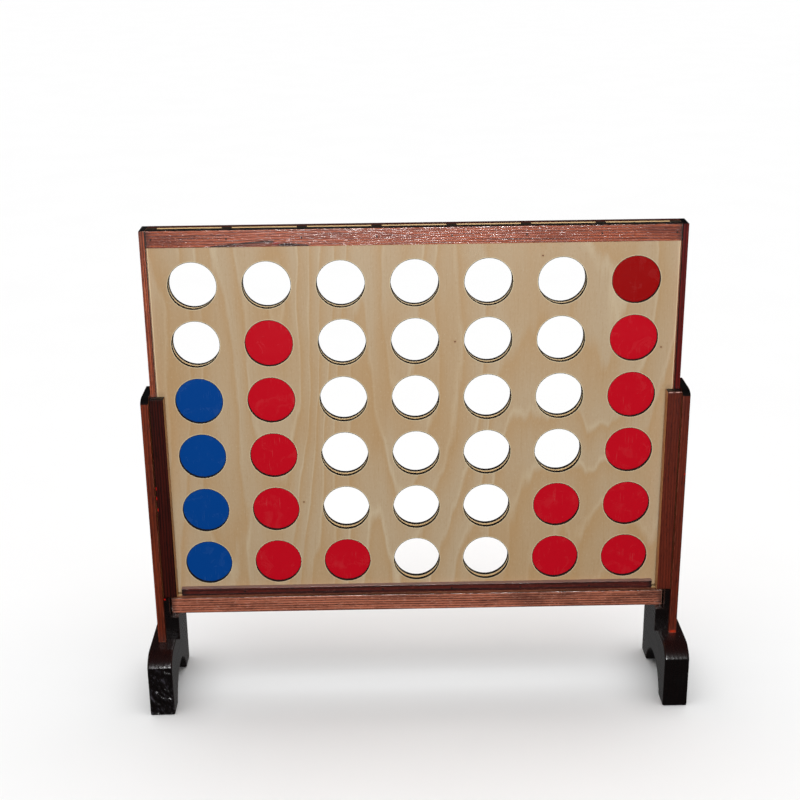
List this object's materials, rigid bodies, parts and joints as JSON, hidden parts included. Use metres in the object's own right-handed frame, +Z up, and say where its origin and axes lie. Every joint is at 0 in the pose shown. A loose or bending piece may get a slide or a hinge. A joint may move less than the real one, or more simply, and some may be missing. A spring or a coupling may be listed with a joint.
{
  "type": "giant four in a row game",
  "caption": "Standing lawn game: holed plywood board that lifts off two arched-foot legs, a pull-out release bar below, and red and blue discs stacked in its columns.",
  "frame": {"origin": "on the ground, under the middle of the game", "axes": "+X to the player's right along the board, -Y to the front, +Z up"},
  "size_m": [0.9564, 0.206, 0.858],
  "materials": {
    "bare_plywood": "sanded plywood, clear matt lacquer, dark burnt hole walls",
    "bare_pine": "bare sawn pine",
    "red_brown_stain": "red-brown stain under satin varnish",
    "light_red_stain": "light red-brown stain, strong grain",
    "dark_stain": "dark red-brown stain under satin varnish",
    "near_black_stain": "near-black gloss stain",
    "red_disc": "smooth gloss with light scuffs",
    "blue_disc": "smooth gloss with light scuffs",
    "brad_steel": "plain steel",
    "screw_steel": "zinc plated"
  },
  "bodies": {
    "left_leg": {"left_post": "red_brown_stain", "left_front_guide": "dark_stain", "left_rear_guide": "dark_stain", "left_stop_block": "near_black_stain", "left_rest_cheek": "near_black_stain", "left_slide_shelf": "near_black_stain", "left_foot": "near_black_stain", "left_leg_screws": "screw_steel", "left_foot_lags": "screw_steel"},
    "board": {"front_panel": "bare_plywood", "rear_panel": "bare_plywood", "front_top_rail": "red_brown_stain", "rear_top_rail": "red_brown_stain", "left_side_board": "red_brown_stain", "right_side_board": "red_brown_stain", "front_bottom_rail": "dark_stain", "rear_bottom_rail": "dark_stain", "divider_1": "bare_pine", "divider_2": "bare_pine", "divider_3": "bare_pine", "divider_4": "bare_pine", "divider_5": "bare_pine", "divider_6": "bare_pine", "left_edge_spacer": "bare_pine", "right_edge_spacer": "bare_pine", "front_rail_brads": "brad_steel", "rear_rail_brads": "brad_steel", "side_board_screws": "screw_steel"},
    "right_leg": {"right_post": "red_brown_stain", "right_front_guide": "dark_stain", "right_rear_guide": "dark_stain", "right_stop_block": "near_black_stain", "right_rest_cheek": "near_black_stain", "right_slide_shelf": "near_black_stain", "right_foot": "near_black_stain", "right_leg_screws": "screw_steel", "right_foot_lags": "screw_steel"},
    "release_bar": {"release_lip": "light_red_stain", "release_plate": "bare_pine"},
    "column_1_discs": {"blue_disc_1_1": "blue_disc", "blue_disc_1_2": "blue_disc", "blue_disc_1_3": "blue_disc", "blue_disc_1_4": "blue_disc"},
    "column_2_discs": {"red_disc_2_1": "red_disc", "red_disc_2_2": "red_disc", "red_disc_2_3": "red_disc", "red_disc_2_4": "red_disc", "red_disc_2_5": "red_disc"},
    "column_3_discs": {"red_disc_3_1": "red_disc"},
    "column_6_discs": {"red_disc_6_1": "red_disc", "red_disc_6_2": "red_disc"},
    "column_7_discs": {"red_disc_7_1": "red_disc", "red_disc_7_2": "red_disc", "red_disc_7_3": "red_disc", "red_disc_7_4": "red_disc", "red_disc_7_5": "red_disc", "red_disc_7_6": "red_disc"}
  },
  "joints": [
    {"name": "board_lift", "type": "slide", "parent": "left_leg", "child": "board", "axis": [0, 0, 1], "range_m": [0, 0.38]},
    {"name": "right_leg_drop", "type": "slide", "parent": "board", "child": "right_leg", "axis": [0, 0, -1], "range_m": [0, 0.38]},
    {"name": "release_pull", "type": "slide", "parent": "left_leg", "child": "release_bar", "axis": [0, -1, 0], "range_m": [0, 0.058]},
    {"name": "column_1_lift", "type": "slide", "parent": "board", "child": "column_1_discs", "axis": [0, 0, 1], "range_m": [0, 0.67]},
    {"name": "column_2_lift", "type": "slide", "parent": "board", "child": "column_2_discs", "axis": [0, 0, 1], "range_m": [0, 0.67]},
    {"name": "column_3_lift", "type": "slide", "parent": "board", "child": "column_3_discs", "axis": [0, 0, 1], "range_m": [0, 0.67]},
    {"name": "column_6_lift", "type": "slide", "parent": "board", "child": "column_6_discs", "axis": [0, 0, 1], "range_m": [0, 0.67]},
    {"name": "column_7_lift", "type": "slide", "parent": "board", "child": "column_7_discs", "axis": [0, 0, 1], "range_m": [0, 0.67]}
  ],
  "couplings": [
    {"joint": "right_leg_drop", "follows": "board_lift", "ratio": 1}
  ]
}
